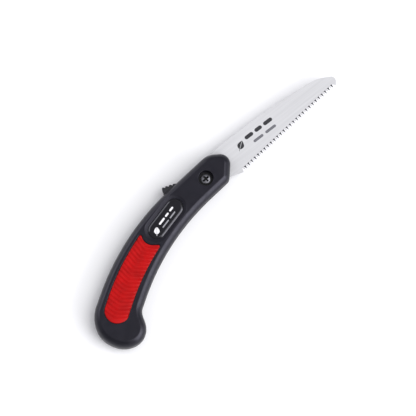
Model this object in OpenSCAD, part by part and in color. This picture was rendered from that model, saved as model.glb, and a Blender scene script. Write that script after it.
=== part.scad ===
// Folding pruning saw, lying open on its side.
// The blade runs along +X, the flat sides of the handle face -Z and +Z.
// Every outline below is measured from the blade's pivot and moved by "place" to the part's origin.

/* [Handle] */
// thickness of the handle over both shells
handle_t = 22; // [18:0.5:26]
// radius of the domed sides
side_round = 9.5; // [8:0.5:11]
// height of the straight lip beside the parting plane
lip_h = 2.3; // [1:0.1:4]
// width of the blade slot between the shells
slot_w = 3; // [2.6:0.1:4]

/* [Blade] */
// thickness of the blade plate
blade_t = 1.3; // [1:0.1:1.6]
// distance between two tooth tips
tooth_pitch = 2.2; // [2:0.05:4]
// depth of the gullets
tooth_depth = 3.1; // [1.5:0.1:4]
// angle from open to folded, in degrees
fold_angle = 165; // [150:1:170]

/* [Pivot] */
// radius of the round screw recess
recess_r = 7.7; // [6:0.1:9]
// depth of the screw recess
recess_d = 7.1; // [5:0.1:8]
// radius of the pivot screw's head
head_r = 5.2; // [4:0.1:6]
// height of the pivot screw's head
head_h = 2.3; // [1.5:0.1:3]
// outside radius of the pivot sleeve
sleeve_r = 4; // [3:0.1:5]
// radius of the blade's tang
tang_r = 11.5; // [10:0.1:13]

/* [Grip and badge] */
// depth of the recess for the grip inlay
grip_recess = 1.6; // [1:0.1:2]
// gap all round the grip inlay
grip_gap = 0.6; // [0.3:0.1:1]
// distance between the grip's ribs
rib_pitch = 4.15; // [3:0.05:6]
// number of ribs
rib_count = 20; // [10:1:24]
// radius of the badge's round ends
badge_r = 8.6; // [6:0.1:10]
// radius of the shallow dish round the badge
dish_r = 11.1; // [10:0.1:13]

/* [Lock] */
// thickness of the lock lever
lever_t = 6; // [4:0.5:8]
// angle the lever can be pressed, in degrees
lever_travel = 7; // [4:1:9]

/* [Hidden] */
$fn = 64;
place = [7.5, 35.2, 0];
mid = handle_t / 2;
slot_low = mid - slot_w / 2;
slot_top = mid + slot_w / 2;
blade_low = mid - blade_t / 2;
blade_top = mid + blade_t / 2;
seat_low = recess_d;
seat_top = handle_t - recess_d;
washer_h = 0.8;
fit = 0.05;
least_r = 1.4;

// handle outline, clockwise from the back of the nose: x, y, corner radius, segments
handle_corners = [
    [16.3, 19.1, 20, 8],
    [36.3, 5.7, 10.2, 14],
    [18.2, -15, 6, 6],
    [-68.6, -24.2, 250, 18],
    [-133.6, -66.4, 16, 8],
    [-142.9, -94.3, 19, 12],
    [-172.1, -87.4, 26, 10],
    [-183.4, -64, 26, 8],
    [-176, -41.2, 34, 8],
    [-99.3, 7.9, 265, 18]
];

// grip inlay outline, clockwise from its tip beside the back edge
grip_corners = [
    [-85.9, -4.5, 1.5, 4],
    [-91, -16.6, 11, 8],
    [-76.9, -26.2, 1.7, 4],
    [-112.6, -39.5, 260, 12],
    [-151.2, -66.3, 2.5, 4],
    [-164.3, -62.2, 12.4, 6],
    [-166.7, -46.8, 12.4, 6],
    [-128.8, -19.7, 260, 12]
];

// blade outline without its teeth, clockwise from the stop shoulder
blade_corners = [
    [3.7, 8, 0.5, 2],
    [3.7, 15.2, 1, 3],
    [8.6, 18.5, 4, 4],
    [93, 20.1, 780, 14],
    [151.2, 13.8, 35, 8],
    [168.6, 4.4, 5, 6],
    [163.4, -3, 1.6, 4],
    [34.7, -16.6, 0.6, 3],
    [4, -6.5, 1, 2]
];
// number of outline points that come after the teeth
toothed_edge = 7;
tooth_start = [160.4, -3.3];
tooth_end = [36.8, -16];
tooth_count = round(norm(tooth_end - tooth_start) / tooth_pitch);

badge_ends = [[-43.2, -4.3], [-71.3, -12]];
stop_pin_at = [1.5, 13.9];
lock_pin_at = [-22, 11.8];
screws_at = [[-85, -0.8], [-125.5, -16.9], [-169.5, -72]];

// pockets that keep the moulded walls even, each a plain outline
core_pockets = [
    [[-17, 5], [-17, -14], [-38, -17.5], [-38, 5]],
    [[-42, 5.5], [-42, -18.5], [-62, -24], [-62, -1.5]],
    [[-66, -3], [-66, -25], [-81, -30.5], [-81, -9]],
    [[-86, -11], [-86, -32.5], [-106, -43], [-106, -18.5]],
    [[-110, -20], [-110, -45], [-128, -56], [-128, -27]],
    [[-132, -28.5], [-132, -57.5], [-145, -73], [-155, -62], [-152, -36.3]]
];

// outlines with rounded corners
function xy(p) = [p[0], p[1]];
function at(list, i) = list[(i + len(list)) % len(list)];
function unit(v) = v / norm(v);
function right_of(a, b) = [unit(b - a)[1], -unit(b - a)[0]];
function left_turn(a, b, c) = cross(unit(b - a), unit(c - b)) > 0;

function inset_point(a, b, c, d) =
    b + (right_of(a, b) + right_of(b, c)) * d / (1 + right_of(a, b) * right_of(b, c));

function inset_corners(list, d) = [
    for (i = [0 : len(list) - 1])
        let (a = xy(at(list, i - 1)), b = xy(list[i]), c = xy(at(list, i + 1)))
        let (p = inset_point(a, b, c, d))
        [p[0], p[1], left_turn(a, b, c) ? list[i][2] + d : max(list[i][2] - d, least_r), list[i][3]]
];

function corner_arc(a, b, c, r, n) =
    let (u = unit(a - b), v = unit(c - b), half = acos(u * v) / 2)
    let (start = b + u * r / tan(half), centre = b + unit(u + v) * r / sin(half))
    let (from = atan2(start[1] - centre[1], start[0] - centre[0]))
    let (side = left_turn(a, b, c) ? 1 : -1)
    [for (k = [0 : n]) centre + r * [
        cos(from + side * (180 - 2 * half) * k / n),
        sin(from + side * (180 - 2 * half) * k / n)]];

function rounded(list) = [
    for (i = [0 : len(list) - 1])
        for (p = corner_arc(xy(at(list, i - 1)), xy(list[i]), xy(at(list, i + 1)), list[i][2], list[i][3]))
            p
];

// where a point of the open blade is once the blade is folded
function folded(p) = [
    p[0] * cos(fold_angle) + p[1] * sin(fold_angle),
    p[1] * cos(fold_angle) - p[0] * sin(fold_angle)
];

// a solid through stacked outlines with the same number of points, lowest first
module loft(outlines, heights) {
    n = len(outlines[0]);
    last = (len(outlines) - 1) * n;
    walls = [
        for (k = [0 : len(outlines) - 2])
            for (i = [0 : n - 1])
                let (a = k * n + i, b = k * n + (i + 1) % n)
                for (face = [[a, b, b + n], [a, b + n, a + n]])
                    face
    ];
    polyhedron(
        points = [
            for (k = [0 : len(outlines) - 1])
                for (p = outlines[k])
                    [p[0], p[1], heights[k]]
        ],
        faces = concat(
            [[for (i = [n - 1 : -1 : 0]) i]],
            [[for (i = [0 : n - 1]) last + i]],
            walls
        )
    );
}

// one half of the handle: a straight lip, then a round side up to the flat face
module half_handle() {
    last_turn = asin((mid + 0.5 - lip_h) / side_round);
    turns = [for (k = [0 : 7]) last_turn * k / 7];
    insets = concat([0], [for (t = turns) side_round * (1 - cos(t))]);
    heights = concat([-1], [for (t = turns) lip_h + side_round * sin(t)]);
    intersection() {
        loft([for (d = insets) rounded(inset_corners(handle_corners, d))], heights);
        translate([-200, -110, 0])
            cube([250, 150, mid]);
    }
}

// the space between the shells that the blade sweeps and rests in
module slot_area() {
    reach = 167.6;
    heel = folded([34.7, -16.6]);
    first_tooth = folded(tooth_end);
    last_tooth = folded(tooth_start);
    polygon(concat(
        [[60, 30], [8.2, 30], [7.6, 19.6], [2.4, 15.6], [2.4, 0], [-9, 0], [-10, 7.2]],
        [heel + [-0.5, 0.9], first_tooth + [-1.2, 1.9], last_tooth + [-0.7, 1.9]],
        [for (a = [194.6 : 2.4 : 214]) reach * [cos(a), sin(a)]],
        [[-135, -110], [60, -60]]
    ));
}

// the opening for the lock lever in the back of the handle, deeper where the pad dips
module lever_area() {
    dip = 21.7 * sin(lever_travel);
    polygon([[-43.7, 9.84 - dip], [-43.7, 24], [-17.5, 24], [-17.5, 14.6], [-4.2, 14.6],
        [-4.2, 8.3], [-30, 8.3]]);
}

module grip_area(gap) {
    polygon(rounded(inset_corners(grip_corners, -gap)));
}

module between_badge_ends() {
    run = badge_ends[0] - badge_ends[1];
    translate([badge_ends[1][0], badge_ends[1][1], 0])
        rotate(atan2(run[1], run[0]))
            children();
}

module stadium(r, h) {
    between_badge_ends() {
        cylinder(r = r, h = h);
        translate([norm(badge_ends[0] - badge_ends[1]), 0, 0])
            cylinder(r = r, h = h);
        translate([0, -r, 0])
            cube([norm(badge_ends[0] - badge_ends[1]), 2 * r, h]);
    }
}

// everything that both shells have cut from their half, seen from the front shell's side
module shell_cuts() {
    translate([0, 0, -1])
        linear_extrude(1 + slot_w / 2)
            slot_area();
    translate([0, 0, -1])
        cylinder(r = tang_r + 0.5, h = 1 + slot_w / 2);
    translate([0, 0, -1])
        linear_extrude(1 + lever_t / 2 + 0.3)
            lever_area();
    translate([0, 0, mid - recess_d])
        cylinder(r = recess_r, h = recess_d + 1);
    cylinder(r = 2.7, h = mid);
    cylinder(r = sleeve_r + 0.02, h = slot_w / 2 + 1);
    translate([0, 0, mid - 0.5])
        stadium(dish_r, 1);
    translate([0, 0, mid - 1.7])
        stadium(badge_r + 0.6, 2);
    translate([0, 0, mid - grip_recess])
        linear_extrude(grip_recess + 1)
            grip_area(grip_gap);
    for (outline = core_pockets)
        linear_extrude(mid - 4.6)
            polygon(outline);
    translate([stop_pin_at[0], stop_pin_at[1], 0])
        cylinder(r = 1.77, h = 3.6);
    translate([lock_pin_at[0], lock_pin_at[1], 0])
        cylinder(r = 1.52, h = 6.1);
}

// the grip inlay: a plate with a row of shallow chevron ribs along its curved centre line
module grip_inlay() {
    plate_h = 0.95;
    rib_h = 0.5;
    turn_centre = [15.2, -288.6];
    turn_r = 290;
    linear_extrude(plate_h)
        grip_area(0);
    intersection() {
        translate([0, 0, plate_h - 0.1])
            linear_extrude(rib_h + 0.1)
                grip_area(-0.7);
        for (k = [0 : rib_count - 1])
            translate([turn_centre[0], turn_centre[1], plate_h - 0.1])
                rotate(109.6 + k * rib_pitch / turn_r * 180 / PI)
                    translate([turn_r, 0, 0])
                        linear_extrude(rib_h + 0.1)
                            chevron(12.5, 5.2, 2);
    }
}

// a chevron that points along +Y: half span, sweep and thickness
module chevron(span, sweep, thick) {
    polygon([[0, 0], [span, -sweep], [span, thick - sweep], [0, thick],
        [-span, thick - sweep], [-span, -sweep]]);
}

// the badge plate: a stadium with a wide bevel
module badge_plate() {
    base_h = 0.9;
    bevel_h = 0.65;
    inner_r = badge_r - 1.3;
    run = norm(badge_ends[0] - badge_ends[1]);
    stadium(badge_r, base_h);
    translate([0, 0, base_h])
        between_badge_ends() {
            cylinder(r1 = badge_r, r2 = inner_r, h = bevel_h);
            translate([run, 0, 0])
                cylinder(r1 = badge_r, r2 = inner_r, h = bevel_h);
            rotate([90, 0, 90])
                linear_extrude(run)
                    polygon([[-badge_r, 0], [badge_r, 0], [inner_r, bevel_h], [-inner_r, bevel_h]]);
        }
}

// a leaf between two arcs, with its tip along +X
module leaf(length) {
    r = length * 0.62;
    half = asin(length / 2 / r);
    drop = r * cos(half);
    polygon(concat(
        [for (k = [0 : 7]) [r * sin(-half + 2 * half * k / 8), r * cos(-half + 2 * half * k / 8) - drop]],
        [for (k = [0 : 7]) [r * sin(half - 2 * half * k / 8), drop - r * cos(half - 2 * half * k / 8)]]
    ));
}

// a plain printed mark: a leaf and two bars
module mark(length, h) {
    linear_extrude(h) {
        rotate(40)
            leaf(length * 0.2);
        translate([length * 0.16, length * 0.03])
            square([length * 0.74, length * 0.055]);
        translate([length * 0.26, -length * 0.13])
            square([length * 0.6, length * 0.035]);
    }
}

module badge_mark() {
    between_badge_ends()
        translate([1.5, 0, 0])
            mark(30, 0.04);
}

// puts a front piece at its height, or its mirror image on the rear side
module on_face(front, height) {
    translate(place)
        if (front)
            translate([0, 0, height])
                children();
        else
            translate([0, 0, handle_t - height])
                mirror([0, 0, 1])
                    children();
}

module front_shell() {
    color("#25242e")
        on_face(true, mid)
            difference() {
                half_handle();
                shell_cuts();
                for (p = screws_at)
                    translate([p[0], p[1], -1])
                        cylinder(r = 1.9, h = 7.8);
            }
}

module rear_shell() {
    color("#25242e")
        on_face(false, mid)
            difference() {
                half_handle();
                shell_cuts();
                for (p = screws_at)
                    translate([p[0], p[1], -1])
                        cylinder(r = 1.35, h = mid + 2);
                for (p = screws_at)
                    translate([p[0], p[1], mid - 5])
                        cylinder(r = 2.6, h = 6);
            }
}

module front_grip() {
    color("#c80f0f")
        on_face(true, handle_t - grip_recess)
            grip_inlay();
}

module rear_grip() {
    color("#c80f0f")
        on_face(false, handle_t - grip_recess)
            grip_inlay();
}

module front_badge() {
    color("#101014")
        on_face(true, handle_t - 1.7)
            badge_plate();
}

module rear_badge() {
    color("#101014")
        on_face(false, handle_t - 1.7)
            badge_plate();
}

module front_badge_mark() {
    color("#e8e8e8")
        on_face(true, handle_t - 0.15)
            badge_mark();
}

module rear_badge_mark() {
    color("#e8e8e8")
        on_face(false, handle_t - 0.15)
            badge_mark();
}

// the toothed edge, from the tip to the heel: each tooth is tall and even, with a small flat
function teeth() =
    let (run = tooth_end - tooth_start, step = run / tooth_count)
    let (root = tooth_depth * [-unit(run)[1], unit(run)[0]])
    concat(
        [tooth_start - root],
        [
            for (k = [0 : tooth_count - 1])
                for (p = [
                    tooth_start + step * (k + 0.44),
                    tooth_start + step * (k + 0.56),
                    tooth_start + step * (k + 1) - root
                ])
                    p
        ]
    );

// the blade's plain edges and its teeth as one outline
function blade_outline() =
    let (plain = rounded(blade_corners), rest = len(plain) - toothed_edge)
    concat([for (k = [0 : rest - 1]) plain[k]], teeth(), [for (k = [rest : len(plain) - 1]) plain[k]]);

module blade() {
    notch_angle = 126;
    color("#d8d8dc")
        translate(place + [0, 0, blade_low])
            difference() {
                union() {
                    linear_extrude(blade_t)
                        polygon(blade_outline());
                    cylinder(r = tang_r, h = blade_t);
                }
                translate([0, 0, -1])
                    cylinder(r = sleeve_r + fit, h = blade_t + 2);
                rotate(notch_angle)
                    translate([tang_r - 1.8, 0, -1])
                        linear_extrude(blade_t + 2)
                            polygon([[0, -1.5], [4, -2.6], [4, 2.6], [0, 1.5]]);
            }
}

module blade_mark() {
    color("#222226")
        translate(place + [50, 6.6, blade_top])
            mark(45, 0.04);
}

module pivot_screw() {
    color("#1c1c20")
        translate(place)
            difference() {
                union() {
                    translate([0, 0, seat_top + washer_h])
                        rotate_extrude()
                            polygon([[0, 0], [head_r, 0], [head_r, head_h * 0.45],
                                [head_r * 0.93, head_h * 0.72], [head_r * 0.78, head_h * 0.9],
                                [head_r * 0.55, head_h], [0, head_h]]);
                    translate([0, 0, 1.4])
                        cylinder(r = 2.5, h = seat_top + washer_h - 1);
                }
                translate([0, 0, seat_top + washer_h + head_h])
                    cross_recess(3.2, 0.75, 1.5);
            }
}

// a tapered cross for a screwdriver: half length, half width and depth
module cross_recess(reach, half_w, depth) {
    for (a = [0, 90])
        rotate([90, 0, a])
            translate([0, 0, -half_w])
                linear_extrude(2 * half_w)
                    polygon([[-reach, 1], [reach, 1], [reach, 0], [reach * 0.35, -depth],
                        [-reach * 0.35, -depth], [-reach, 0]]);
}

module ring(r_out, r_in, h) {
    difference() {
        cylinder(r = r_out, h = h);
        translate([0, 0, -1])
            cylinder(r = r_in, h = h + 2);
    }
}

module pivot_head_washer() {
    color("#8a8a90")
        translate(place + [0, 0, seat_top])
            ring(6.6, 2.6, washer_h);
}

module pivot_sleeve() {
    color("#b8b8bc")
        translate(place + [0, 0, slot_low - 0.98])
            ring(sleeve_r, 2.55, slot_w + 1.96);
}

module pivot_nut() {
    color("#b8b8bc")
        translate(place + [0, 0, seat_low - washer_h - 4.4])
            difference() {
                union() {
                    cylinder(r = 4.62, h = 3.4, $fn = 6);
                    translate([0, 0, 3.4])
                        cylinder(r = 5.4, h = 1);
                }
                translate([0, 0, -1])
                    cylinder(r = 2.53, h = 7);
            }
}

module pivot_nut_washer() {
    color("#8a8a90")
        translate(place + [0, 0, seat_low - washer_h])
            ring(6.6, 2.6, washer_h);
}

module front_thrust_washer() {
    color("#e6e2d6")
        translate(place + [0, 0, blade_top + 0.3])
            ring(9, sleeve_r + fit, slot_top - blade_top - 0.3);
}

module rear_thrust_washer() {
    color("#e6e2d6")
        translate(place + [0, 0, slot_low])
            ring(9, sleeve_r + fit, blade_low - slot_low - 0.3);
}

module stop_pin() {
    color("#b8b8bc")
        translate(place + [stop_pin_at[0], stop_pin_at[1], mid - 3.5])
            cylinder(r = 1.75, h = 7);
}

// the rocking lever: a nose over the tang, a boss on the pin and a serrated thumb pad
module lock_lever() {
    outline = [
        [-22, 14.6], [-18, 13.6], [-6.8, 12.1], [-5.6, 11.4], [-6, 10.4], [-8.1, 9], [-9.8, 9.4],
        [-22, 9], [-26, 10.2], [-42.5, 10.2], [-42.6, 13], [-41, 18.6], [-39.8, 20.4],
        [-38.6, 20], [-37.4, 18.4], [-36.2, 19.5], [-35, 19], [-33.8, 17.2], [-32.4, 18.3],
        [-31.2, 17.6], [-30, 15.8], [-28.6, 16.8], [-27.4, 16], [-25.2, 14.6]
    ];
    color("#1e1e24")
        translate(place + [lock_pin_at[0], lock_pin_at[1], mid - lever_t / 2])
            difference() {
                union() {
                    cylinder(r = 2.8, h = lever_t);
                    linear_extrude(lever_t)
                        polygon([for (p = outline) p - lock_pin_at]);
                }
                translate([0, 0, -1])
                    cylinder(r = 1.5 + fit, h = lever_t + 2);
                translate([0, 0, -1])
                    cylinder(r = 3.4, h = 3.2);
                translate([-8, -4, -1])
                    cube([8, 3.2, 3.2]);
            }
}

module lock_pin() {
    color("#b8b8bc")
        translate(place + [lock_pin_at[0], lock_pin_at[1], mid - 6])
            cylinder(r = 1.5, h = 12);
}

// a small torsion spring on the lock pin, with one leg under the pad and one on the shell
module lock_spring() {
    wire_r = 0.3;
    coil_r = 2;
    coil_pitch = 0.55;
    side = [for (k = [0 : 2]) for (a = [-60 : 30 : 60])
        [coil_r + wire_r * cos(a), coil_pitch * k + wire_r * sin(a)]];
    back = [for (k = [2 : -1 : 0]) for (a = [120 : 30 : 240])
        [coil_r + wire_r * cos(a), coil_pitch * k + wire_r * sin(a)]];
    color("#9a9aa0")
        translate(place + [lock_pin_at[0], lock_pin_at[1], mid - lever_t / 2 + 0.5]) {
            rotate_extrude()
                polygon(concat(side, back));
            translate([0.1, -coil_r, 0])
                rotate([0, -90, 10])
                    cylinder(r = 0.26, h = 7);
            translate([0.1, -coil_r, 2 * coil_pitch])
                rotate([0, -90, -7])
                    cylinder(r = 0.26, h = 7);
        }
}

module shell_screws() {
    color("#8a8a90")
        for (p = screws_at)
            translate(place + [p[0], p[1], 3.2])
                difference() {
                    union() {
                        cylinder(r = 2.4, h = 1.8);
                        translate([0, 0, 1.8])
                            cylinder(r = 1.25, h = 11);
                    }
                    mirror([0, 0, 1])
                        cross_recess(1.5, 0.35, 0.9);
                }
}

module screw_inserts() {
    color("#b08d4a")
        for (p = screws_at)
            translate(place + [p[0], p[1], mid + 0.2])
                ring(1.9, 1.27, 6);
}

front_shell();
rear_shell();
front_grip();
rear_grip();
front_badge();
rear_badge();
front_badge_mark();
rear_badge_mark();
blade();
blade_mark();
pivot_screw();
pivot_head_washer();
pivot_sleeve();
pivot_nut();
pivot_nut_washer();
front_thrust_washer();
rear_thrust_washer();
stop_pin();
lock_lever();
lock_pin();
lock_spring();
shell_screws();
screw_inserts();
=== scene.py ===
"""Folding pruning saw, open on its side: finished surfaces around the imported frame."""
import math

import bmesh
import bpy
import numpy as np
from mathutils import Matrix, Vector
from mathutils.geometry import delaunay_2d_cdt


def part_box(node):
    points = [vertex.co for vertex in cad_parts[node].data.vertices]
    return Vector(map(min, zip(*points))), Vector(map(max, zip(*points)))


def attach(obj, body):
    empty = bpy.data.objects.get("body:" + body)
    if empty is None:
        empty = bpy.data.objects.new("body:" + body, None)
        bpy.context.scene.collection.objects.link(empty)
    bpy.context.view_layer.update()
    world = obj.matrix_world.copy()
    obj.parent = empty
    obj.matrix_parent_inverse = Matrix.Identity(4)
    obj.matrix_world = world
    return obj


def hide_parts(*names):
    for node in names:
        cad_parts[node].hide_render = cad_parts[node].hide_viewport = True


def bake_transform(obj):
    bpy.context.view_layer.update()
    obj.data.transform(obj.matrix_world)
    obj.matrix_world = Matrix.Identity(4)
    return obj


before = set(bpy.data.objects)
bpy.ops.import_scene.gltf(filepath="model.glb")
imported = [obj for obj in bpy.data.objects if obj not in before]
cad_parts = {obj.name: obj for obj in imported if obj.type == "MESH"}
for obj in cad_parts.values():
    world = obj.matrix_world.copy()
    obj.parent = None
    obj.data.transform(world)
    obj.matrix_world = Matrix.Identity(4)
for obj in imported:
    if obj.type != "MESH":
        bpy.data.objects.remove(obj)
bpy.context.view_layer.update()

# ---------------------------------------------------------------- sizes, in millimetres
MM = 0.001
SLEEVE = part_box("pivot_sleeve")
PIVOT = (SLEEVE[0] + SLEEVE[1]) / 2 / MM
MID = PIVOT.z
HALF_T = 11.0  # half of the handle's thickness
SIDE_R = 9.5  # radius of the domed sides
LIP = 2.3  # straight wall beside the face where the shells meet
SLOT_HALF = 1.5
BLADE_T = 1.3
LEVER_T = 6.0
PRINT_T = 0.03
FOLD = math.radians(165)

# HANDLE, GRIP and BLADE are corners (x, y, radius, segments), clockwise, measured from the pivot

HANDLE = [(16.3, 19.1, 20, 20), (36.3, 5.7, 10.2, 30), (18.2, -15, 9, 18), (-68.6, -24.2, 250, 40),
          (-133.6, -66.4, 16, 22), (-142.9, -94.3, 19, 28), (-172.1, -87.4, 26, 20),
          (-183.4, -64, 26, 16), (-176, -41.2, 34, 18), (-99.3, 7.9, 265, 40)]
GRIP = [(-85.9, -4.5, 1.5, 8), (-91, -16.6, 11, 18), (-76.9, -26.2, 1.7, 8), (-112.6, -39.5, 260, 30),
        (-151.2, -66.3, 9, 14), (-164.3, -62.2, 12.4, 16), (-166.7, -46.8, 12.4, 16),
        (-128.8, -19.7, 260, 30)]
BLADE = [(3.7, 8, 0.5, 2), (3.7, 15.2, 1, 4), (8.6, 18.5, 4, 6), (93, 20.1, 780, 24),
         (151.2, 13.8, 35, 14), (168.6, 4.4, 5, 14), (163.4, -3, 1.6, 6), (34.7, -16.6, 0.6, 3),
         (4, -6.5, 1, 2)]
CORNERS_BEFORE_TEETH = 7
TOOTH_START, TOOTH_END = Vector((160.4, -3.3)), Vector((36.8, -16))
TEETH, TOOTH_DEPTH = 56, 3.5
BADGE_ENDS = (Vector((-43.2, -4.3)), Vector((-71.3, -12)))
SCREWS = [(-85, -0.8), (-125.5, -16.9), (-169.5, -72)]
LOCK_PIN = (-22, 11.8)
LEVER = [(-22, 14.6), (-18, 13.6), (-6.8, 12.1), (-5.6, 11.4), (-6, 10.4), (-8.1, 9), (-9.8, 9.4),
         (-22, 9), (-26, 10.2), (-42.5, 10.2), (-42.6, 13), (-41, 18.6), (-39.8, 20.4), (-38.6, 20),
         (-37.4, 18.4), (-36.2, 19.5), (-35, 19), (-33.8, 17.2), (-32.4, 18.3), (-31.2, 17.6),
         (-30, 15.8), (-28.6, 16.8), (-27.4, 16), (-25.2, 14.6)]
LEVER_OPENING = [(-43.7, 7.2), (-43.7, 24), (-17.5, 24), (-17.5, 14.6), (-4.2, 14.6), (-4.2, 8.3),
                 (-30, 8.3)]


# ---------------------------------------------------------------- outlines
def unit(v):
    return v / math.hypot(*v)


def right_of(a, b):
    u = unit(b - a)
    return np.array((u[1], -u[0]))


def left_turn(a, b, c):
    u, v = b - a, c - b
    return u[0] * v[1] - u[1] * v[0] > 0


def around(corners, i):
    n = len(corners)
    return [np.array(corners[(i + k) % n][:2], float) for k in (-1, 0, 1)]


def inset(corners, d, least=1.4):
    """The corners of the same outline moved inwards by d, with their radii changed to suit."""
    out = []
    for i, (_, _, r, n) in enumerate(corners):
        a, b, c = around(corners, i)
        u, v = right_of(a, b), right_of(b, c)
        p = b + (u + v) * d / (1 + u @ v)
        out.append((p[0], p[1], r + d if left_turn(a, b, c) else max(r - d, min(least, r)), n))
    return out


def rounded(corners):
    """The outline's points, clockwise, with an arc at every corner."""
    out = []
    for i, (_, _, r, n) in enumerate(corners):
        a, b, c = around(corners, i)
        u, v = unit(a - b), unit(c - b)
        half = math.acos(max(-1, min(1, u @ v))) / 2
        start, centre = b + u * r / math.tan(half), b + unit(u + v) * r / math.sin(half)
        first = math.atan2(*(start - centre)[::-1])
        turn = (math.pi - 2 * half) * (1 if left_turn(a, b, c) else -1)
        out += [(centre[0] + r * math.cos(first + turn * k / n),
                 centre[1] + r * math.sin(first + turn * k / n)) for k in range(n + 1)]
    return out


def circle(r, n=64, centre=(0, 0)):
    return [(centre[0] + r * math.cos(-2 * math.pi * k / n), centre[1] + r * math.sin(-2 * math.pi * k / n))
            for k in range(n)]


def stadium(r, n=40):
    """Clockwise outline round both badge ends."""
    a, b = BADGE_ENDS
    along = math.atan2(a.y - b.y, a.x - b.x)
    out = []
    for centre, first in ((a, along + math.pi / 2), (b, along - math.pi / 2)):
        out += [(centre.x + r * math.cos(first - math.pi * k / n),
                 centre.y + r * math.sin(first - math.pi * k / n)) for k in range(n + 1)]
    return out


def folded(p):
    """Where a point of the blade stands when the blade is folded."""
    return np.array((p[0] * math.cos(FOLD) + p[1] * math.sin(FOLD),
                     p[1] * math.cos(FOLD) - p[0] * math.sin(FOLD)))


# ---------------------------------------------------------------- mesh tools, working in millimetres
def new_object(name, verts, faces):
    mesh = bpy.data.meshes.new(name)
    mesh.from_pydata([tuple(map(float, v)) for v in verts], [], faces)
    mesh.validate()
    mesh.update()
    obj = bpy.data.objects.new(name, mesh)
    bpy.context.scene.collection.objects.link(obj)
    return obj


def loft(name, outlines, heights):
    """A closed solid through clockwise outlines of equal length, lowest first."""
    n = len(outlines[0])
    verts = [(x, y, z) for outline, z in zip(outlines, heights) for x, y in outline]
    last = (len(outlines) - 1) * n
    faces = [list(range(n)), [last + i for i in range(n - 1, -1, -1)]]
    for k in range(len(outlines) - 1):
        for i in range(n):
            a, b = k * n + i, k * n + (i + 1) % n
            faces.append((a, a + n, b + n, b))
    return new_object(name, verts, faces)


def prism(name, outline, low, high):
    return loft(name, [outline, outline], [low, high])


def revolved(name, profile, n=64, centre=(0, 0)):
    """A solid of revolution: profile is a list of (radius, height), lowest first."""
    return loft(name, [circle(max(r, 0.001), n, centre) for r, _ in profile], [z for _, z in profile])


def combine(target, others, operation="DIFFERENCE"):
    """Cuts the others from target, or joins them to it, and removes them."""
    for other in others:
        step = target.modifiers.new("step", "BOOLEAN")
        step.operation, step.solver, step.object = operation, "EXACT", other
    bpy.context.view_layer.update()
    done = bpy.data.meshes.new_from_object(target.evaluated_get(bpy.context.evaluated_depsgraph_get()))
    target.modifiers.clear()
    target.data = done
    for other in others:
        bpy.data.objects.remove(other)
    return target


def tidy(obj, merge=0.002):
    bm = bmesh.new()
    bm.from_mesh(obj.data)
    bmesh.ops.remove_doubles(bm, verts=bm.verts, dist=merge)
    bmesh.ops.dissolve_degenerate(bm, edges=bm.edges, dist=merge)
    bmesh.ops.recalc_face_normals(bm, faces=bm.faces)
    bm.to_mesh(obj.data)
    bm.free()
    return obj


def settle(obj, front=True, height=0.0):
    """Takes a piece made about the pivot to its place, in metres; the rear pieces are mirror images."""
    flip = 1 if front else -1
    move = Matrix.Translation((PIVOT.x, PIVOT.y, MID)) @ Matrix.Diagonal((1, 1, flip, 1))
    obj.data.transform(Matrix.Scale(MM, 4) @ move @ Matrix.Translation((0, 0, height)))
    if not front:
        obj.data.flip_normals()
    return obj


def smooth(obj, angle=32, bevel=0.0, segments=2):
    if bevel:
        edge = obj.modifiers.new("edge", "BEVEL")
        edge.width, edge.segments, edge.limit_method = bevel * MM, segments, "ANGLE"
        edge.angle_limit, edge.miter_outer = math.radians(35), "MITER_ARC"
    obj.data.polygons.foreach_set("use_smooth", [True] * len(obj.data.polygons))
    obj.data.set_sharp_from_angle(angle=math.radians(angle))
    weigh = obj.modifiers.new("weigh", "WEIGHTED_NORMAL")
    weigh.keep_sharp, weigh.weight = True, 60
    return obj


def place(obj, material, body, node):
    if material is not None:
        obj.data.materials.clear()
        obj.data.materials.append(material)
    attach(obj, body)
    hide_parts(node)
    return obj


# ---------------------------------------------------------------- materials
def linear(*rgb):
    return tuple((c / 255 / 12.92 if c <= 10 else ((c / 255 + 0.055) / 1.055) ** 2.4) for c in rgb) + (1,)


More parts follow.
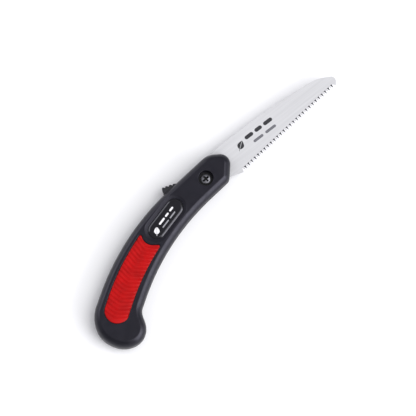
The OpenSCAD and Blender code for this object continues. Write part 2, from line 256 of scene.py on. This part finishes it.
class Finish:
    """A Principled material and short ways to wire its textures."""

    def __init__(self, name, color, rough, metallic=0.0, **sockets):
        self.material = bpy.data.materials.new(name)
        self.material.use_nodes = True
        self.tree = self.material.node_tree
        self.shader = self.tree.nodes["Principled BSDF"]
        self.set("Base Color", color)
        self.set("Roughness", rough)
        self.set("Metallic", metallic)
        for socket, value in sockets.items():
            self.set(socket.replace("_", " "), value)
        self.where = self.node("ShaderNodeTexCoord").outputs["Object"]

    def set(self, socket, value):
        self.shader.inputs[socket].default_value = value

    def node(self, kind, **inputs):
        made = self.tree.nodes.new(kind)
        for socket, value in inputs.items():
            target = made.inputs[socket.replace("_", " ")]
            if isinstance(value, bpy.types.NodeSocket):
                self.tree.links.new(value, target)
            else:
                target.default_value = value
        return made

    def noise(self, scale, stretch=(1, 1, 1), detail=3.0, rough=0.5):
        spot = self.node("ShaderNodeMapping", Vector=self.where, Scale=stretch)
        return self.node("ShaderNodeTexNoise", Vector=spot.outputs[0], Scale=scale, Detail=detail,
                         Roughness=rough).outputs["Fac"]

    def span(self, fac, low, high, start=0.35, end=0.65):
        made = self.node("ShaderNodeMapRange", Value=fac, To_Min=low, To_Max=high)
        made.inputs["From Min"].default_value = start
        made.inputs["From Max"].default_value = end
        return made.outputs[0]

    def vary_roughness(self, fac, low, high, start=0.35, end=0.65):
        self.tree.links.new(self.span(fac, low, high, start, end), self.shader.inputs["Roughness"])

    def vary_color(self, fac, low, high, start=0.35, end=0.65):
        mix = self.tree.nodes.new("ShaderNodeMix")
        mix.data_type = "RGBA"
        self.tree.links.new(self.span(fac, 0, 1, start, end), mix.inputs[0])
        mix.inputs[6].default_value, mix.inputs[7].default_value = low, high
        self.tree.links.new(mix.outputs[2], self.shader.inputs["Base Color"])

    def bump(self, fac, depth_mm, strength=1.0):
        made = self.node("ShaderNodeBump", Height=fac, Distance=depth_mm * MM, Strength=strength)
        self.tree.links.new(made.outputs[0], self.shader.inputs["Normal"])


def shade(color, factor):
    return tuple(min(1, c * factor) for c in color[:3]) + (1,)


def make_materials():
    mats = {}
    plastic = linear(9, 9, 16)
    f = Finish("shell_plastic", plastic, 0.36, Specular_IOR_Level=0.38,
               Specular_Tint=(0.86, 0.84, 1, 1))
    f.vary_color(f.noise(55), shade(plastic, 0.86), shade(plastic, 1.16))
    f.vary_roughness(f.noise(140, detail=5), 0.32, 0.42)
    f.bump(f.noise(2600, detail=2), 0.012, 0.5)
    mats["shell_plastic"] = f.material

    red = linear(172, 6, 8)
    f = Finish("grip_rubber", red, 0.36, Specular_IOR_Level=0.18)
    f.vary_color(f.noise(90), shade(red, 0.86), shade(red, 1.1))
    f.vary_roughness(f.noise(300, detail=4), 0.3, 0.42)
    f.bump(f.noise(3200, detail=2), 0.015, 0.6)
    mats["grip_rubber"] = f.material

    gloss = linear(10, 10, 13)
    f = Finish("badge_gloss", gloss, 0.16, Specular_IOR_Level=0.25, Coat_Weight=0.5, Coat_Roughness=0.08,
               Specular_Tint=(0.82, 0.8, 1, 1))
    f.vary_color(f.noise(120), shade(gloss, 0.8), shade(gloss, 1.2))
    f.vary_roughness(f.noise(400, detail=5), 0.12, 0.22)
    f.bump(f.noise(500, detail=2), 0.004, 0.3)
    mats["badge_gloss"] = f.material

    for name, ink, rough in (("white_print", linear(238, 238, 240), 0.45),
                             ("dark_print", linear(34, 34, 39), 0.5),
                             ("grey_print", linear(150, 150, 156), 0.45),
                             ("faint_print", linear(104, 104, 110), 0.5)):
        f = Finish(name, ink, rough)
        f.vary_color(f.noise(900, detail=4), shade(ink, 0.88), ink)
        f.vary_roughness(f.noise(1500), rough - 0.05, rough + 0.1)
        mats[name] = f.material

    steel = linear(203, 203, 205)
    f = Finish("blade_steel", steel, 0.5, metallic=0.22, Specular_IOR_Level=0.15)
    f.vary_color(f.noise(1, (10, 420, 420), detail=4, rough=0.65),
                 shade(steel, 0.9), shade(steel, 1.02), 0.3, 0.7)
    f.vary_roughness(f.noise(1, (20, 1400, 1400), detail=3), 0.44, 0.56)
    f.bump(f.noise(1, (25, 5200, 5200), detail=2), 0.006, 0.5)
    mats["blade_steel"] = f.material

    # dark steel for the tilted tooth facets: painted shade, standing for the dark that those facets catch
    ground = linear(56, 56, 60)
    f = Finish("tooth_facet_shade", ground, 0.36, metallic=0.8)
    f.vary_color(f.noise(1, (900, 300, 300), detail=3), shade(ground, 0.6), shade(ground, 1.3))
    f.vary_roughness(f.noise(1, (2500, 500, 500)), 0.3, 0.45)
    f.bump(f.noise(1, (6000, 600, 600), detail=2), 0.006, 0.5)
    mats["tooth_facet_shade"] = f.material

    # the first, near-black steel is painted shade for the pivot screw's cross recess and for the washer in the
    # ring round its head
    for name, tone, rough, metallic in (("dark_steel_recess_shade", linear(16, 16, 18), 0.5, 0.4),
                                        ("black_steel", linear(128, 128, 134), 0.28, 0.7),
                                        ("zinc_steel", linear(178, 178, 182), 0.32, 0.95),
                                        ("brass", linear(190, 150, 82), 0.3, 0.95)):
        f = Finish(name, tone, rough, metallic=metallic)
        f.vary_color(f.noise(500, detail=4), shade(tone, 0.75), shade(tone, 1.15))
        f.vary_roughness(f.noise(900, detail=4), rough - 0.08, rough + 0.12)
        f.bump(f.noise(2400, detail=2), 0.01, 0.4)
        mats[name] = f.material

    lever = linear(24, 24, 31)
    f = Finish("lever_plastic", lever, 0.42, Specular_IOR_Level=0.45)
    f.vary_color(f.noise(160), shade(lever, 0.8), shade(lever, 1.25))
    f.vary_roughness(f.noise(500, detail=4), 0.36, 0.5)
    f.bump(f.noise(2600, detail=2), 0.015, 0.6)
    mats["lever_plastic"] = f.material

    nylon = linear(222, 218, 205)
    f = Finish("nylon", nylon, 0.45)
    f.vary_color(f.noise(300), shade(nylon, 0.92), shade(nylon, 1.03))
    f.vary_roughness(f.noise(700), 0.4, 0.52)
    mats["nylon"] = f.material
    return mats


MATS = make_materials()


# ---------------------------------------------------------------- handle shells
def slot_outline():
    heel, first, last = folded((34.7, -16.6)), folded(TOOTH_END), folded(TOOTH_START)
    arc = [167.6 * np.array((math.cos(math.radians(a)), math.sin(math.radians(a))))
           for a in np.arange(194.6, 214.1, 2.4)]
    points = [(60, 30), (8.2, 30), (7.6, 19.6), (2.4, 15.6), (2.4, 0), (-9, 0), (-10, 7.2),
              heel + (-0.5, 0.9), first + (-1.2, 1.9), last + (-0.7, 1.9), *arc, (-135, -110), (60, -60)]
    return [tuple(map(float, p)) for p in points][::-1]


def half_handle(name):
    """One shell before its cuts: rounded lip, domed side, soft edge, flat face."""
    soft = 1.6
    lip_round = 0.3
    centre_in = SIDE_R - math.sqrt((SIDE_R - soft) ** 2 - (HALF_T - soft - LIP) ** 2)
    rise = math.asin((HALF_T - soft - LIP) / (SIDE_R - soft))
    steps = [(lip_round - lip_round * math.sin(t), lip_round - lip_round * math.cos(t))
             for t in np.linspace(0, math.pi / 2, 4)]
    steps += [(0.0, LIP)]
    steps += [(SIDE_R * (1 - math.cos(t)), LIP + SIDE_R * math.sin(t)) for t in np.linspace(0, rise, 13)[1:]]
    steps += [(centre_in - soft * math.cos(t), HALF_T - soft + soft * math.sin(t))
              for t in np.linspace(rise, math.pi / 2, 5)[1:]]
    return loft(name, [rounded(inset(HANDLE, d, 3.5)) for d, _ in steps], [z for _, z in steps])


def shell(name, front):
    body = half_handle(name)
    recess = [(7.7, 3.9), (7.7, 10.62), (7.78, 10.83), (7.95, 10.96), (8.2, 11.02), (8.2, 12)]
    dish = [(9.2, 9.3), (9.2, 10.1), (9.32, 10.26), (9.6, 10.34), (11.9, 10.7), (12.25, 10.82),
            (12.5, 11.02), (12.5, 12.2)]
    rim = [(-0.6, 9.4), (-0.6, 10.62), (-0.68, 10.83), (-0.85, 10.96), (-1.1, 11.02), (-1.1, 12)]
    cutters = [
        prism("slot", slot_outline(), -1, SLOT_HALF),
        prism("turn", circle(12, 96), -1.2, SLOT_HALF - 0.01),
        prism("lever", LEVER_OPENING, -1.1, LEVER_T / 2 + 0.3),
        revolved("recess", recess, 96),
        prism("bore", circle(2.7, 32), -1.3, 5),
        loft("dish", [stadium(r) for r, _ in dish], [z for _, z in dish]),
        loft("bed", [rounded(inset(GRIP, d)) for d, _ in rim], [z for _, z in rim]),
    ]
    if not front:
        for x, y in SCREWS:
            cutters.append(revolved("bore", [(2.6, 6), (2.6, 10.85), (2.72, 10.97), (2.9, 11.02), (2.9, 12)],
                                    40, (x, y)))
    combine(body, cutters)
    tidy(body)
    settle(body, front)
    return smooth(body, 30)


for side, front in (("front", True), ("rear", False)):
    piece = shell(side + "_shell_skin", front)
    place(piece, MATS["shell_plastic"], "handle", side + "_shell")


# ---------------------------------------------------------------- grip inlays
def distance_to(outline, points):
    """Distance of each point to a closed outline, and which points are inside it."""
    a = np.array(outline)
    b = np.roll(a, -1, 0)
    best = np.full(len(points), 1e9)
    inside = np.zeros(len(points), bool)
    for p, q in zip(a, b):
        d = q - p
        t = np.clip(((points - p) @ d) / max(d @ d, 1e-12), 0, 1)
        best = np.minimum(best, np.hypot(*(points - p - t[:, None] * d).T))
        if p[1] != q[1]:
            crosses = (points[:, 1] > min(p[1], q[1])) & (points[:, 1] <= max(p[1], q[1]))
            at = p[0] + (points[:, 1] - p[1]) / (q[1] - p[1]) * d[0]
            inside ^= crosses & (points[:, 0] < at)
    return best, inside


def grip_height(points, edge):
    """Rows of pillow ribs in a chevron along the grip's curve, rolled down at the outline."""
    bend_centre, bend_r, bend_start = np.array((15.2, -288.6)), 290, math.radians(109.6)
    first_rib, last_rib, pitch, sweep = 3, 89, 4.15, 0.42
    valley, rib, roll_width, roll_drop = 10.12, 0.8, 4.5, 0.6
    rel = points - bend_centre
    across = np.hypot(*rel.T) - bend_r - 1.2
    along = bend_r * (np.arctan2(rel[:, 1], rel[:, 0]) - bend_start)
    blunt = 0.5 + 3.4 * np.clip(along / 80, 0, 1) ** 1.5  # the chevrons' points grow rounder towards the butt
    u = along + (np.sqrt(across ** 2 + blunt ** 2) - blunt) * sweep
    phase = u / pitch - np.floor(u / pitch)
    pillow = 1 - np.abs(2 * phase - 1) ** 1.9
    ribbed = np.clip((u - first_rib) / 1.5, 0, 1) * np.clip((last_rib - u) / 2, 0, 1)
    roll = 1 - np.sqrt(np.clip(1 - (1 - np.clip(edge / roll_width, 0, 1)) ** 2, 0, 1))
    return valley + rib * (1 - ribbed + ribbed * pillow) - roll_drop * roll


def grip(name):
    ring = rounded(GRIP)
    rings = [ring] + [rounded(inset(GRIP, d, 0.6)) for d in (0.12, 0.35)]
    step, underside = 0.42, 9.45
    xs, ys = np.meshgrid(np.arange(-170, -72, step), np.arange(-72, 2, step * 0.866))
    xs = xs + (np.arange(xs.shape[0]) % 2)[:, None] * step / 2
    grid = np.column_stack((xs.ravel(), ys.ravel()))
    edge, inside = distance_to(ring, grid)
    grid = grid[inside & (edge > 0.6)]
    points = np.vstack([np.array(r) for r in rings] + [grid])
    n = len(ring)
    edges = [(k * n + i, k * n + (i + 1) % n) for k in range(3) for i in range(n)]
    flat, _, tris, *_ = delaunay_2d_cdt([Vector(p) for p in points], edges, [], 1, 1e-5)
    flat = np.array([tuple(p) for p in flat])
    edge, _ = distance_to(ring, flat)
    z = grip_height(flat, edge)
    verts = [(x, y, h) for (x, y), h in zip(flat, z)]
    faces = [list(t) for t in tris]
    base = len(verts)
    verts += [(x, y, underside) for x, y in flat]
    sides = dict.fromkeys((i, j) for t in faces for i, j in zip(t, t[1:] + t[:1]))
    rim = [(i, j) for i, j in sides if (j, i) not in sides]
    under = [[base + i for i in reversed(t)] for t in faces]
    walls = [[j, i, base + i, base + j] for i, j in rim]
    return new_object(name, verts, faces + under + walls)


for side, front in (("front", True), ("rear", False)):
    piece = settle(tidy(grip(side + "_grip_skin"), 0.0005), front)
    smooth(piece, 50)
    place(piece, MATS["grip_rubber"], "handle", side + "_grip")


# ---------------------------------------------------------------- badges and their marks
def badge(name):
    steps = [(0.25, 9.32), (0, 9.5), (0, 9.72), (0.06, 9.84), (0.2, 9.94), (1.45, 10.68), (1.7, 10.77),
             (2.1, 10.81), (3.8, 10.82), (7.4, 10.83)]
    return loft(name, [stadium(8.6 - d) for d, _ in steps], [z for _, z in steps])


def pill(x0, x1, y, h, n=8):
    r = h / 2
    left = [(x0 + r - r * math.sin(math.pi * k / n), y - r * math.cos(math.pi * k / n)) for k in range(n + 1)]
    right = [(x1 - r + r * math.sin(math.pi * k / n), y + r * math.cos(math.pi * k / n)) for k in range(n + 1)]
    return left + right


def leaf_half(length, side, n=14):
    """Half of a leaf beside its midrib, its tip along +X."""
    gap = length * 0.035
    curve = [(length * k / n, side * (gap + length * 0.34 * math.sin(math.pi * (k / n) ** 0.8)))
             for k in range(n + 1)]
    return curve + [(length * 0.98, side * gap * 0.6), (length * 0.1, side * gap * 0.6)]


def turned(outline, angle, origin=(0, 0)):
    c, s = math.cos(angle), math.sin(angle)
    return [(origin[0] + x * c - y * s, origin[1] + x * s + y * c) for x, y in outline]


def mark(name, parts, turn, origin, z):
    """Thin printed shapes: parts is a list of outlines, all at one height."""
    verts, faces = [], []
    for outline in parts:
        points = turned(outline, turn, origin)
        area = sum(p[0] * q[1] - q[0] * p[1] for p, q in zip(points, points[1:] + points[:1]))
        if area > 0:
            points = points[::-1]
        n, base = len(points), len(verts)
        verts += [(x, y, z) for x, y in points] + [(x, y, z + PRINT_T) for x, y in points]
        faces += [[base + i for i in range(n)], [base + n + i for i in range(n - 1, -1, -1)]]
        faces += [[base + i, base + n + i, base + n + (i + 1) % n, base + (i + 1) % n] for i in range(n)]
    return new_object(name, verts, faces)


def mark_parts(leaf_at, leaf_size, first, second):
    """A leaf, one bolder row of bars and one lighter row: (x0, x1, ..., y, height) for each row."""
    leaf = [turned(leaf_half(leaf_size, side), math.radians(38), leaf_at) for side in (1, -1)]
    stalk = turned([(-leaf_size * 0.22, -0.25), (-leaf_size * 0.22, 0.25), (leaf_size * 0.06, 0.15),
                    (leaf_size * 0.06, -0.15)], math.radians(38), leaf_at)
    rows = [[pill(a, b, y, h) for a, b in zip(cuts[::2], cuts[1::2])] for *cuts, y, h in (first, second)]
    return leaf + [stalk] + rows[0], rows[1]


BADGE_TURN = math.atan2(BADGE_ENDS[0].y - BADGE_ENDS[1].y, BADGE_ENDS[0].x - BADGE_ENDS[1].x)
for side, front in (("front", True), ("rear", False)):
    piece = smooth(settle(badge(side + "_badge_skin"), front), 40)
    place(piece, MATS["badge_gloss"], "handle", side + "_badge")
    bold, light = mark_parts((-3.4, -2.5), 7.4, (6, 14.5, 16, 21, 23, 28.5, 1.5, 1.9),
                             (5.5, 15.5, 17.5, 26, -3.1, 1.3))
    for part, ink, ending in ((bold, "white_print", "mark"), (light, "grey_print", "mark_line")):
        piece = mark(side + "_badge_" + ending, part, BADGE_TURN, BADGE_ENDS[1], 10.83)
        settle(piece, front)
        place(piece, MATS[ink], "handle", side + "_badge_mark")


# ---------------------------------------------------------------- blade
def blade_outline(upper):
    """The blade's outline on one face; every other tooth is ground away towards that face."""
    plain = rounded(BLADE)
    before = sum(corner[3] + 1 for corner in BLADE[:CORNERS_BEFORE_TEETH])
    run = TOOTH_END - TOOTH_START
    step = run / TEETH
    root = TOOTH_DEPTH * Vector((-run.normalized().y, run.normalized().x))
    points = [tuple(p) for p in plain[:before]] + [tuple(TOOTH_START - root)]
    for k in range(TEETH):
        ground = (k % 2 == 0) == upper
        for at in (0.45, 0.55):
            p = TOOTH_START + step * (k + at)
            if ground:
                p = p - root * 0.94
            points.append(tuple(p))
        points.append(tuple(TOOTH_START + step * (k + 1) - root))
    return points + [tuple(p) for p in plain[before:]]


def blade():
    low, high = -BLADE_T / 2, BLADE_T / 2
    body = loft("blade_skin", [blade_outline(False), blade_outline(True)], [low, high])
    disc = prism("tang", circle(11.5, 96), low + 0.01, high - 0.01)
    combine(body, [disc], "UNION")
    notch = turned([(9.7, -1.5), (13.7, -2.6), (13.7, 2.6), (9.7, 1.5)], math.radians(126))
    combine(body, [prism("hole", circle(4.05, 48), -2, 2), prism("notch", notch[::-1], -2, 2)])
    tidy(body, 0.001)
    return settle(body)


piece = blade()
piece.data.materials.append(MATS["blade_steel"])
piece.data.materials.append(MATS["tooth_facet_shade"])
# the tilted tooth facets take the dark second material: painted shade
for face in piece.data.polygons:
    slope = abs(face.normal.z)
    if 0.05 < slope < 0.985:
        face.material_index = 1
piece.data.polygons.foreach_set("use_smooth", [False] * len(piece.data.polygons))
place(piece, None, "blade", "blade")

bold, light = mark_parts((46.2, 4), 9, (57, 67, 69.5, 78, 80.5, 91, 9.4, 3.9), (62, 74, 77, 90, 1.5, 2.8))
for part, ink, ending in ((bold, "dark_print", "skin"), (light, "faint_print", "line")):
    piece = settle(mark("blade_mark_" + ending, part, 0, (0, 0), BLADE_T / 2 - 0.003))
    place(piece, MATS[ink], "blade", "blade_mark")


# ---------------------------------------------------------------- pivot screw, lever and lock spring
def pivot_screw():
    top, r = 7.0, 5.2
    head = [(r - 0.25, 4.7), (r, 4.9)]
    head += [(r * math.cos(t) ** 0.75, 5.55 + 1.45 * math.sin(t))
             for t in np.linspace(0, math.pi / 2 - 0.12, 12)]
    body = revolved("pivot_screw_skin", head + [(0.01, top)], 64)
    shank = prism("shank", circle(2.5, 40), -9.5, 5)
    combine(body, [shank], "UNION")
    arms = []
    sizes = ((1.2, 0.45, top - 2.2), (3.6, 0.95, top - 0.3), (3.9, 1.05, top + 1))
    for turn in (5, 95):
        layers = [turned(((-long, -wide), (-long, wide), (long, wide), (long, -wide)), math.radians(turn))
                  for long, wide, _ in sizes]
        arms.append(loft("arm", layers, [z for *_, z in sizes]))
    combine(body, arms)
    tidy(body, 0.001)
    body.data.materials.append(MATS["black_steel"])
    body.data.materials.append(MATS["dark_steel_recess_shade"])
    # the faces inside the cross recess take the near-black second material: painted shade
    for face in body.data.polygons:
        if math.hypot(face.center.x, face.center.y) < 3.6 and 4.75 < face.center.z < 6.6:
            face.material_index = 1
    return smooth(settle(body), 35)


place(pivot_screw(), None, "handle", "pivot_screw")


def lever():
    """The lever, with a round pocket for the spring's coil and a channel for its high leg."""
    low, high = -LEVER_T / 2, LEVER_T / 2
    channel = [(-30, 7.8), (-30, 11), (-22, 11), (-22, 7.8)]
    body = prism("lock_lever_skin", LEVER, low, high)
    combine(body, [prism("boss", circle(2.8, 40, LOCK_PIN), low + 0.01, high - 0.01)], "UNION")
    combine(body, [prism("hole", circle(1.55, 32, LOCK_PIN), -9, 9),
                   prism("pocket", circle(3.4, 32, LOCK_PIN), -9, low + 2.2),
                   prism("channel", channel, -9, low + 2.19)])
    return smooth(settle(tidy(body, 0.001)), 40, bevel=0.3)


place(lever(), MATS["lever_plastic"], "lever", "lock_lever")


def wire(name, path, r, sides=10):
    """A round wire swept along a path of points, closed at both ends."""
    path = [Vector(p) for p in path]
    verts, side = [], Vector((0, 0, 1))
    for i, p in enumerate(path):
        along = (path[min(i + 1, len(path) - 1)] - path[max(i - 1, 0)]).normalized()
        side = (side - along * side.dot(along)).normalized()
        other = along.cross(side)
        verts += [p + r * (math.cos(a) * side + math.sin(a) * other)
                  for a in (2 * math.pi * k / sides for k in range(sides))]
    faces = []
    for base in range(0, (len(path) - 1) * sides, sides):
        for k in range(sides):
            a, b = base + k, base + (k + 1) % sides
            faces.append([a, b, b + sides, a + sides])
    last = (len(path) - 1) * sides
    faces += [list(range(sides - 1, -1, -1)), [last + k for k in range(sides)]]
    return new_object(name, verts, faces)


def lock_spring():
    """A torsion spring about the lock pin, with a low and a high leg, and two points on its axis near the ends
    of its coil.
    """
    coil_r, wire_r, turns, steps = 2.0, 0.26, 1.75, 56
    rise, low = 1.05, -LEVER_T / 2 + 0.5
    high = low + rise
    path = [(-6.8, -3.2, low), (-3.4, -2.6, low), (-0.7, -2.1, low)]
    for k in range(1, steps + 1):
        a = math.radians(-90 + 360 * turns * (k / steps))
        path.append((coil_r * math.cos(a), coil_r * math.sin(a), low + rise * (k / steps)))
    path += [(-2.02, -0.45, high), (-2.25, -0.85, high), (-2.7, -1.08, high), (-4.5, -1.13, high),
             (-6.8, -1.15, high)]
    body = wire("lock_spring_wire", [(x + LOCK_PIN[0], y + LOCK_PIN[1], z) for x, y, z in path], wire_r)
    settle(tidy(body, 0.0005))
    pin = (PIVOT.x * MM + LOCK_PIN[0] * MM, PIVOT.y * MM + LOCK_PIN[1] * MM)
    return smooth(body, 50), [(*pin, (MID + low + rise * part) * MM) for part in (0.1, 0.9)]


spring, (spring_low, spring_high) = lock_spring()
spring.data.materials.append(MATS["zinc_steel"])
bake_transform(spring)
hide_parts("lock_spring")

# small metal and nylon parts keep their exact shape and get their finish
# the head washer's near-black steel is painted shade for the deep ring round the screw head
for node, finish in {"pivot_head_washer": "dark_steel_recess_shade", "pivot_sleeve": "zinc_steel",
                     "pivot_nut": "zinc_steel", "pivot_nut_washer": "zinc_steel",
                     "front_thrust_washer": "nylon", "rear_thrust_washer": "nylon",
                     "stop_pin": "zinc_steel", "lock_pin": "zinc_steel",
                     "shell_screws": "zinc_steel", "screw_inserts": "brass"}.items():
    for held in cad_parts[node].material_slots:
        held.material = MATS[finish]


# ---------------------------------------------------------------- floor, light and camera
def studio():
    """A white floor, two softboxes and a broad fill, seen by a far camera with a long lens."""
    size, n = 14.0, 12
    grid = np.linspace(-size, size, n + 1)
    verts = [(x, y, -0.0002) for y in grid for x in grid]
    faces = [(j * (n + 1) + i, j * (n + 1) + i + 1, (j + 1) * (n + 1) + i + 1, (j + 1) * (n + 1) + i)
             for j in range(n) for i in range(n)]
    floor = new_object("studio_floor", verts, faces)
    f = Finish("floor_paper", linear(246, 246, 247), 0.9, Specular_IOR_Level=0.1)
    f.vary_color(f.noise(3), linear(244, 244, 245), linear(247, 247, 248))
    floor.data.materials.append(f.material)

    world = bpy.data.worlds.new("studio")
    bpy.context.scene.world = world
    world.use_nodes = True
    world.node_tree.nodes["Background"].inputs[0].default_value = (0.97, 0.97, 1.0, 1)
    world.node_tree.nodes["Background"].inputs[1].default_value = 0.52

    target = Vector((-0.00828, 0.01151, 0.011))
    right, up = Vector((0.788, -0.615, 0)), Vector((0.615, 0.788, 0))

    def softbox(name, across, along, elevation, distance, wide, tall, watts):
        flat = (right * across + up * along).normalized()
        rise = math.radians(elevation)
        direction = flat * math.cos(rise) + Vector((0, 0, math.sin(rise)))
        data = bpy.data.lights.new(name, "AREA")
        data.shape, data.size, data.size_y = "RECTANGLE", wide, tall
        data.energy, data.color = watts, (0.95, 0.95, 1.0)
        lamp = bpy.data.objects.new(name, data)
        lamp.location = target + direction * distance
        lamp.rotation_euler = direction.to_track_quat("Z", "Y").to_euler()
        bpy.context.scene.collection.objects.link(lamp)

    softbox("key", 0.85, -0.45, 22, 1.5, 1.5, 0.95, 17)
    softbox("back", -0.85, 0.5, 24, 1.6, 1.4, 0.9, 9.5)
    fill = bpy.data.lights.new("fill", "SUN")
    fill.energy, fill.angle = 1.9, math.radians(60)
    lamp = bpy.data.objects.new("fill", fill)
    lamp.rotation_euler = (Vector((0, 0, 0.8)) + right * 0.58 - up * 0.1).to_track_quat("Z", "Y").to_euler()
    bpy.context.scene.collection.objects.link(lamp)

    camera = bpy.data.cameras.new("camera")
    camera.lens, camera.sensor_width = 900, 36
    eye = bpy.data.objects.new("camera", camera)
    view_width = 0.416
    distance = view_width * camera.lens / camera.sensor_width
    direction = Vector((-0.128, -0.164, 0.978)).normalized()
    eye.location = target + direction * distance
    eye.rotation_euler = direction.to_track_quat("Z", "Y").to_euler()
    bpy.context.scene.collection.objects.link(eye)
    bpy.context.scene.camera = eye
    bpy.context.scene.view_settings.view_transform = "Standard"


studio()
